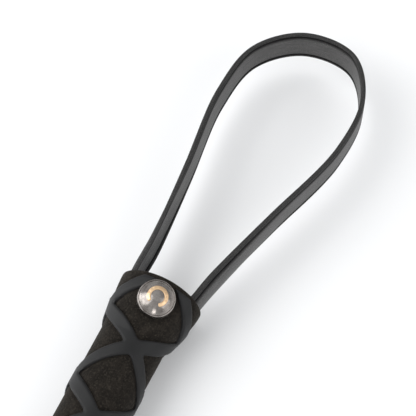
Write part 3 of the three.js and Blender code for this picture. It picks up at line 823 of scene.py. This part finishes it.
def catmull_rom(points, per_span):
    """A centripetal Catmull-Rom curve through the points."""
    points = np.asarray(points, float)
    ends = [2 * points[0] - points[1], 2 * points[-1] - points[-2]]
    p = np.concatenate([ends[:1], points, ends[1:]])
    out = []
    for i in range(1, len(p) - 2):
        gaps = [math.sqrt(np.linalg.norm(p[k + 1] - p[k])) for k in (i - 1, i, i + 1)]
        slope = []
        for k in (i, i + 1):
            before, after = gaps[k - i], gaps[k - i + 1]
            slope.append((p[k] - p[k - 1]) / before - (p[k + 1] - p[k - 1]) / (before + after)
                         + (p[k + 1] - p[k]) / after)
        for t in np.arange(per_span) / per_span:
            start = (2 * t ** 3 - 3 * t ** 2 + 1) * p[i]
            end = (3 * t ** 2 - 2 * t ** 3) * p[i + 1]
            leaving = (t ** 3 - 2 * t ** 2 + t) * slope[0] * gaps[1]
            arriving = (t ** 3 - t ** 2) * slope[1] * gaps[1]
            out.append(start + leaving + end + arriving)
    return np.array(out + [points[-1]])


def evenly(path, step):
    lengths = np.concatenate([[0], np.cumsum(np.linalg.norm(np.diff(path, axis=0), axis=1))])
    count = round(lengths[-1] / step)
    even = np.linspace(0, lengths[-1], count + 1)
    return np.stack([np.interp(even, lengths, path[:, k]) for k in range(path.shape[1])], 1), even


def wrist_strap():
    """Both tails and the loop as one flat strap on edge, with a groove pressed near each border.

    Toward the mouth it curls to the round wall that it lies against.
    """
    left = [(-TAIL_DEPTH, LEFT_TAIL["inner"]), (0, LEFT_TAIL["mouth"])]
    right = [(0, RIGHT_TAIL["mouth"]), (-TAIL_DEPTH, RIGHT_TAIL["inner"])]
    path, along = evenly(catmull_rom([*left, *LOOP_ROUTE, *right], 40), STRAP_STEP)
    tangent = np.gradient(path, axis=0)
    tangent /= np.linalg.norm(tangent, axis=1)[:, None]
    outward = np.stack([-tangent[:, 1], tangent[:, 0]], 1)
    into = smooth(-path[:, 0] / TAIL_DEPTH)
    mouth_half = lerp(MOUTH_STRAP_WIDTH, TAIL_WIDTH, into) / 2
    half_width = lerp(mouth_half, STRAP_WIDTH / 2, smooth(path[:, 0] / STRAP_FULL_WIDTH_AT))
    curl = 1 - smooth(path[:, 0] / CURL_END)

    sections, shades = [], []
    for half, curled in zip(half_width, curl):
        outline, shade = strap_section(half)
        outline[:, 0] -= curled * (CURL_RADIUS - np.sqrt(CURL_RADIUS ** 2 - outline[:, 1] ** 2))
        sections.append(outline)
        shades.append(shade)
    sections, shades = np.array(sections), np.array(shades)
    points = np.zeros((*sections.shape[:2], 3))
    points[..., :2] = path[:, None] + outward[:, None] * sections[..., :1]
    points[..., 2] = sections[..., 1]
    shades = np.concatenate([shades[:1], shades, shades[-1:]])
    run = np.concatenate([along[:1], along, along[-1:]])
    steps = np.linalg.norm(np.diff(sections[len(path) // 2], axis=0), axis=1)
    around = np.concatenate([[0], np.cumsum(steps)])
    around = np.append(around, around[-1] + 0.1)
    return grid_mesh("wrist_strap", capped(points), CROP, wrap_columns=True, shade=shades,
                     uv=(lambda i, j: run[i] / 10, lambda i, j: around[j] / 10))


def strap_section(half):
    """The strap's outline as [thickness, width] points, and how dark each point is."""
    half_t = STRAP_THICKNESS / 2
    turn = np.linspace(0, math.pi / 2, 6)
    flat = np.sin(np.linspace(-1, 1, 71) * 1.35)[1:-1] / math.sin(1.35)
    outline, shade = [], []
    for sign_t, sign_w in ((1, -1), (1, 1), (-1, 1), (-1, -1)):
        angles = turn if sign_w == -sign_t else turn[::-1]
        t = sign_t * (half_t - RIM_ROUNDING + RIM_ROUNDING * np.sin(angles))
        w = sign_w * (half - RIM_ROUNDING + RIM_ROUNDING * np.cos(angles))
        outline.append(np.stack([t, w], 1))
        shade.append(np.full(len(angles), RIM_SHADE))
        if sign_w == -sign_t:
            w = sign_t * flat * (half - RIM_ROUNDING)
            border = half - np.abs(w)
            groove = GROOVE_DEPTH * np.exp(-((border - GROOVE_INSET) / 0.6) ** 2)
            crown = 0.08 * (1 - (w / half) ** 2)
            outline.append(np.stack([sign_t * (half_t - groove + crown), w], 1))
            # painted shade: the colour darkens in a band along each pressed groove, on top of its
            # depth
            line = np.exp(-((border - GROOVE_INSET) / 1.0) ** 2)
            shade.append(np.maximum(line, RIM_SHADE * (border < GROOVE_INSET)))
    return np.concatenate(outline), np.concatenate(shade)


# ---------------------------------------------------------------- shaft and tip

def shaft_braid():
    """Flat strands plaited over and under each other round the rod."""
    x = np.arange(BRAID_END, BRAID_START + 0.1, 0.4)
    around = np.linspace(0, 2 * math.pi, 96, endpoint=False)
    place, angle = np.meshgrid(x, around, indexing="ij")
    turn = BRAID_STRANDS * angle / (2 * math.pi)
    right = turn - place / BRAID_PITCH
    left = turn + place / BRAID_PITCH
    right_over = (np.floor(right) + np.floor(left)) % 2 == 0
    across = np.where(right_over, right, left) % 1
    along = np.where(right_over, left, right) % 1
    strand = (1 - np.abs(2 * across - 1) ** 4) * (0.45 + 0.55 * np.sin(math.pi * along))
    radius = braid_radius(place) - BRAID_RELIEF + BRAID_RELIEF * strand
    points = ring_points(place, radius, angle)
    inside = [braid_radius(end) - BRAID_WALL for end in (BRAID_END, BRAID_START)]
    points = closed_in(points, (BRAID_END, BRAID_START), inside, angle[:1])
    return grid_mesh("braided_cover", points, CROP, wrap_columns=True)


def closed_in(points, places, radii, angle):
    """Turned rings with a smaller ring added at each end."""
    start, end = (ring_points(np.full_like(angle, x), radius + 0 * angle, angle)
                  for x, radius in zip(places, radii))
    return np.concatenate([start, points, end])


TAB_BORE_RADIUS = float(braid_radius(BRAID_END)) + CLEARANCE + 0.1
TAB_RADIUS = TAB_BORE_RADIUS + LEAF_THICKNESS


def tip_binding():
    """Close turns of thread, wound as a helix, with a rounded shoulder at each end."""
    x = np.arange(BINDING_END, BINDING_START + 0.05, THREAD_PITCH / 10)
    around = np.linspace(0, 2 * math.pi, 96, endpoint=False)
    place, angle = np.meshgrid(x, around, indexing="ij")
    phase = place / THREAD_PITCH + angle / (2 * math.pi)
    ridge = np.sqrt(np.clip(1 - (2 * (phase % 1) - 1) ** 2, 0, 1))
    end_fade = smooth((place - BINDING_END) / 0.7) * smooth((BINDING_START - place) / 0.7)
    radius = TAB_RADIUS + 0.1 + end_fade * (0.45 + 0.5 * ridge)
    points = ring_points(place, radius, angle)
    points = closed_in(points, (BINDING_END, BINDING_START), [TAB_RADIUS - 0.6] * 2, angle[:1])
    return grid_mesh("tip_whipping", points, CROP, wrap_columns=True)


def leaf_half_width(x):
    """Half the width of the tongue leather at a place along the crop."""
    neck = smooth((LEAF_TAB_END + 2 - x) / 17)
    along = np.clip((TONGUE_HINGE - x) / TONGUE_LENGTH, 0, 1)
    blade = lerp(TONGUE_ROOT_HALF_WIDTH, TONGUE_END_HALF_WIDTH, along)
    corner = np.clip((TONGUE_HINGE - TONGUE_LENGTH + TONGUE_CORNER - x) / TONGUE_CORNER, 0, 1)
    rounding = TONGUE_CORNER * (1 - np.sqrt(np.clip(1 - corner ** 2, 0, 1)))
    return lerp(4.2, blade, neck) - rounding


def tongue_leaf(up):
    """One leaf: a half tube round the shaft's end that opens out to a flat blade."""
    end = TONGUE_HINGE - TONGUE_LENGTH
    corner_steps = end + TONGUE_CORNER * (1 - np.sin(np.linspace(0, math.pi / 2, 10)))[::-1]
    x = np.concatenate([np.arange(LEAF_TAB_START, end + TONGUE_CORNER, -0.8), corner_steps[::-1]])
    x = np.unique(x)[::-1]
    v = np.linspace(-1, 1, 41)
    half = LEAF_THICKNESS / 2
    closing = smooth((-588 - x) / 13)
    rise = lerp(TAB_BORE_RADIUS + half, (LEAF_THICKNESS + 0.08) / 2, closing)
    curl = 1 - smooth((LEAF_TAB_END - 1 - x) / 12)
    width = leaf_half_width(x)
    radius = TAB_BORE_RADIUS + half
    top, bottom = [], []
    for i, place in enumerate(x):
        across = v * width[i]
        arc = np.clip(across / radius, -1.42, 1.42)
        rows = []
        for off in (half, -half):
            edge_round = off * (1 - 0.55 * np.abs(v) ** 14)
            curled_y = (radius + edge_round) * np.sin(arc)
            curled_z = (radius + edge_round) * np.cos(arc)
            y = lerp(across, curled_y, curl[i])
            z = lerp(rise[i] + edge_round, curled_z, curl[i])
            rows.append(np.stack([np.full_like(y, place), y, up * z], 1))
        top.append(rows[0])
        bottom.append(rows[1])
    section = np.concatenate([np.array(top), np.array(bottom)[:, ::-1]], 1)
    section = bent_at_hinge(section, tongue_droop())
    caps = [section[k].reshape(1, -1, 3).copy() for k in (0, -1)]
    for cap in caps:
        cap[:] = (cap + cap[:, ::-1]) / 2
    solid = np.concatenate([caps[0], section, caps[1]])
    run = np.concatenate([[x[0]], x, [x[-1]]])
    side = TONGUE_END_HALF_WIDTH * np.concatenate([v, v[::-1], [-1]])
    name = "tongue_leather_" + ("upper" if up > 0 else "lower")
    return grid_mesh(name, solid, CROP, wrap_columns=True,
                     uv=(lambda i, j: run[i] / 10, lambda i, j: side[j] / 10))


def tongue_droop():
    """Angle from the crop's axis to the tongue's, in radians, positive as the end drops."""
    crop_along = CROP.to_3x3() @ Vector((1, 0, 0))
    tongue_along = TONGUE.to_3x3() @ Vector((1, 0, 0))
    return math.atan2(tongue_along.z, tongue_along.x) - math.atan2(crop_along.z, crop_along.x)


def bent_at_hinge(points, droop, soft=6.0):
    """Turns what lies past the tongue's hinge by the droop, smoothly over a few millimetres."""
    out = points.copy()
    past = smooth((TONGUE_HINGE + soft - points[..., 0]) / (2 * soft))
    angle = droop * past
    dx, z = points[..., 0] - TONGUE_HINGE, points[..., 2]
    out[..., 0] = TONGUE_HINGE + dx * np.cos(angle) - z * np.sin(angle)
    out[..., 2] = dx * np.sin(angle) + z * np.cos(angle)
    return out


def tongue_stitches():
    """A row of saddle stitches inside the blade's border, on both faces."""
    end = -TONGUE_LENGTH
    half = TONGUE_END_HALF_WIDTH - STITCH_INSET
    root = TONGUE_ROOT_HALF_WIDTH - STITCH_INSET + 0.2
    corner = TONGUE_CORNER - STITCH_INSET + 1
    turn = np.linspace(0, math.pi / 2, 8)
    right = np.stack([end + STITCH_INSET + corner * (1 - np.sin(turn)),
                      half - corner * (1 - np.cos(turn))], 1)
    line = np.concatenate([[(-3.5, root)], right, (right * (1, -1))[::-1], [(-3.5, -root)]])
    path, along = evenly(dense(line, 0.5), 0.2)
    count = int(along[-1] // STITCH_STEP)
    stitches = []
    for k in range(count):
        middle = (k + 0.5) * along[-1] / count
        ends = [np.array([np.interp(middle + s, along, path[:, axis]) for axis in (0, 1)])
                for s in (-STITCH_LENGTH / 2, STITCH_LENGTH / 2)]
        for face in (1, -1):
            stitches.append(stitch(ends, face * (LEAF_THICKNESS + 0.06)))
    return joined("tongue_stitching", stitches)


def stitch(ends, height):
    """A short bowed thread that dives into the leather at both ends."""
    count, sides = 9, 8
    t = np.linspace(0, 1, count)
    turn = np.linspace(0, 2 * math.pi, sides, endpoint=False)
    along = (ends[1] - ends[0]) / np.linalg.norm(ends[1] - ends[0])
    across = np.array([-along[1], along[0]])
    bow = np.sin(t * math.pi) ** 0.5
    points = np.zeros((count, sides, 3))
    for i in range(count):
        wide = STITCH_RADIUS * lerp(0.45, 1, bow[i])
        rise = math.copysign(1, height) * (0.22 * bow[i] - 0.16)
        points[i, :, :2] = lerp(ends[0], ends[1], t[i]) + np.outer(np.cos(turn) * wide, across)
        points[i, :, 2] = height + rise + np.sin(turn) * wide * 0.8
    return grid_mesh("stitch", capped(points), TONGUE, wrap_columns=True)


# ---------------------------------------------------------------- stage

def stage():
    """A pale floor under a studio sky that is brighter on the side the soft light comes from."""
    bpy.ops.mesh.primitive_plane_add(size=6)
    floor = bpy.context.object
    floor.name = "floor"
    pale = Finish("pale_floor", 0.8, specular=0.1)
    pale.shader.inputs["Base Color"].default_value = (0.83, 0.83, 0.833, 1)
    dress(floor, pale.material)
    world = bpy.data.worlds.new("studio")
    bpy.context.scene.world = world
    world.use_nodes = True
    nodes, links = world.node_tree.nodes, world.node_tree.links
    place = nodes.new("ShaderNodeTexCoord")
    toward = nodes.new("ShaderNodeVectorMath")
    toward.operation = "DOT_PRODUCT"
    toward.inputs[1].default_value = Vector(LIGHT_FROM).normalized()
    links.new(place.outputs["Generated"], toward.inputs[0])
    level = nodes.new("ShaderNodeMapRange")
    for key, value in (("From Min", -0.7), ("From Max", 1.0), ("To Min", SKY_DARK),
                       ("To Max", SKY_BRIGHT)):
        level.inputs[key].default_value = value
    links.new(toward.outputs["Value"], level.inputs["Value"])
    nodes["Background"].inputs["Color"].default_value = (0.97, 0.985, 1.0, 1)
    links.new(level.outputs[0], nodes["Background"].inputs["Strength"])
    for name, lamp in SOFTBOXES.items():
        softbox(name, **lamp)
    bpy.context.scene.view_settings.view_transform = "Standard"


def softbox(name, toward, size, distance, power):
    light = bpy.data.lights.new(name, "AREA")
    light.shape = "DISK"
    light.size = size * MM
    light.energy = power
    lamp = bpy.data.objects.new(name, light)
    lamp.location = crop_point(*(Vector(toward).normalized() * distance))
    aim = Vector(crop_point(0)) - lamp.location
    lamp.rotation_euler = aim.to_track_quat("-Z", "Y").to_euler()
    bpy.context.scene.collection.objects.link(lamp)


def camera():
    lens = bpy.data.cameras.new("photo_view")
    lens.lens = VIEW_LENS
    lens.sensor_width = 36
    lens.clip_start = 0.01
    viewer = bpy.data.objects.new("photo_view", lens)
    here, aim = Vector(crop_point(*VIEW_FROM)), Vector(crop_point(*VIEW_AIM))
    forward = (aim - here).normalized()
    along = CROP.to_3x3() @ Vector((1, 0, 0))
    upright = (along - forward * along.dot(forward)).normalized()
    up = Matrix.Rotation(-VIEW_ROLL, 3, forward) @ upright
    right = forward.cross(up)
    turn = Matrix((right, up, -forward)).transposed().to_4x4()
    viewer.matrix_world = Matrix.Translation(here) @ turn
    bpy.context.scene.collection.objects.link(viewer)
    bpy.context.scene.camera = viewer


# ---------------------------------------------------------------- assembly

camera()
stage()

settle(grip_sleeve(), SUEDE, "crop", "suede", "grip_sleeve")
settle(grip_lattice(), RUBBER, "crop", "rubber", "grip_lattice")
settle(neck_cone(), NECK_RUBBER, "crop", "rubber", "neck_cone")
settle(butt_plug(), NECK_RUBBER, "crop", "rubber", "butt_plug")
settle(stud_rim(), NICKEL, "crop", "nickel", "stud_rim")
settle(stud_cap(), NICKEL, "crop", "nickel", "stud_cap")
settle(stud_inlay(), COPPER, "crop", "copper", "stud_inlay")
settle(shaft_braid(), NYLON, "crop", "nylon", "shaft_braid")
settle(tip_binding(), THREAD, "crop", "thread", "tip_binding")

strap = wrist_strap()
dress(strap, STRAP_LEATHER)
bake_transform(strap)
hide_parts("wrist_loop", "strap_tail_left", "strap_tail_right")

for up, side_name in ((1, "upper"), (-1, "lower")):
    leaf = tongue_leaf(up)
    dress(leaf, TONGUE_LEATHER)
    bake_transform(leaf)
    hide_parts(f"tongue_root_{side_name}", f"tongue_leaf_{side_name}")
settle(tongue_stitches(), PALE_THREAD, "tongue", "thread")

KEPT_NODES = {
    "handle_core": PLASTIC,
    "tip_cap": PLASTIC,
    "shaft_rod": FIBREGLASS,
    "stud_shank": NAIL_STEEL,
    "tail_tack_left": NAIL_STEEL,
    "tail_tack_right": NAIL_STEEL,
}
for node, finish in KEPT_NODES.items():
    dress(frame["nodes"][node], finish)
